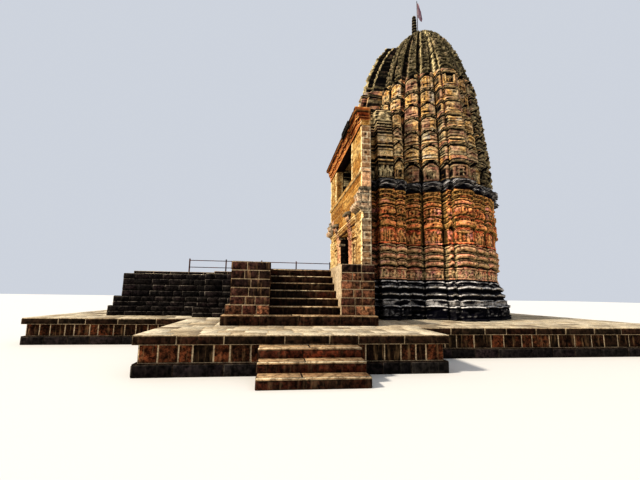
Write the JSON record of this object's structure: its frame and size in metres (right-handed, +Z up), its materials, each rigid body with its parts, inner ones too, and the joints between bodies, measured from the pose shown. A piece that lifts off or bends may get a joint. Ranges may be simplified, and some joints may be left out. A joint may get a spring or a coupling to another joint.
{
  "type": "hindu temple",
  "caption": "Sandstone temple with a star-plan tower of stacked shrines, a two-storey masonry front, a hall platform with a side stair, and a walled terrace with steps.",
  "frame": {"origin": "on the ground, under the tower's vertical axis", "axes": "+Z up, +X from the entrance front to the back of the sanctum, -Y towards the stair side"},
  "size_m": [20.7, 14.62, 16.8],
  "materials": {
    "sandstone": "carved rust-orange sandstone, weathered, dark in the recesses",
    "grey_stone": "weathered grey-tan sandstone with lichen patches",
    "dark_stone": "blackened stone blocks with pale joints",
    "paving": "worn cream paving slabs",
    "gold_stone": "yellow-orange dressed sandstone",
    "red_stone": "rust-brown ashlar blocks with pale joints",
    "iron": "rusty painted iron",
    "flag_cloth": "faded thin cotton"
  },
  "bodies": {
    "root": {"terrace_footing": "dark_stone", "stair_step_1": "dark_stone", "platform_base": "dark_stone", "platform_wall": "dark_stone", "tower_base": "dark_stone", "front_crest": "dark_stone", "terrace_wall": "red_stone", "lower_step_1": "red_stone", "lower_step_2": "red_stone", "lower_step_3": "red_stone", "stair_step_2": "red_stone", "stair_step_3": "red_stone", "stair_step_4": "red_stone", "stair_step_5": "red_stone", "stair_step_6": "red_stone", "stair_step_7": "red_stone", "stair_pier_left": "red_stone", "stair_pier_right": "red_stone", "front_eave": "red_stone", "terrace_coping": "paving", "platform_paving": "paving", "sanctum_floor": "paving", "flag_pole": "iron", "tower_rolls_near": "sandstone", "tower_rolls_back": "sandstone", "tower_rolls_far": "sandstone", "tower_wall_near": "sandstone", "tower_wall_back": "sandstone", "tower_wall_far": "sandstone", "sanctum_doorway": "sandstone", "tower_storey_1": "sandstone", "tower_storey_2": "sandstone", "tower_storey_3": "sandstone", "tower_storey_4": "sandstone", "tower_storey_5": "sandstone", "tower_storey_6": "sandstone", "tower_storey_7": "sandstone", "tower_eave": "grey_stone", "vestibule_upper_near": "grey_stone", "vestibule_upper_far": "grey_stone", "vestibule_roof": "grey_stone", "tower_crown": "grey_stone", "front_cornice": "grey_stone", "finial": "grey_stone", "front_wall_near": "gold_stone", "front_wall_far": "gold_stone", "front_parapet": "gold_stone", "front_upper_wall_near": "gold_stone", "front_upper_wall_far": "gold_stone", "front_lintel": "gold_stone", "flag": "flag_cloth", "railing": "iron", "platform_foot": "dark_stone", "front_capital_corner_near": "grey_stone", "front_capital_corner_far": "grey_stone", "front_capital_jamb_near": "grey_stone", "front_capital_jamb_far": "grey_stone"}
  },
  "joints": []
}
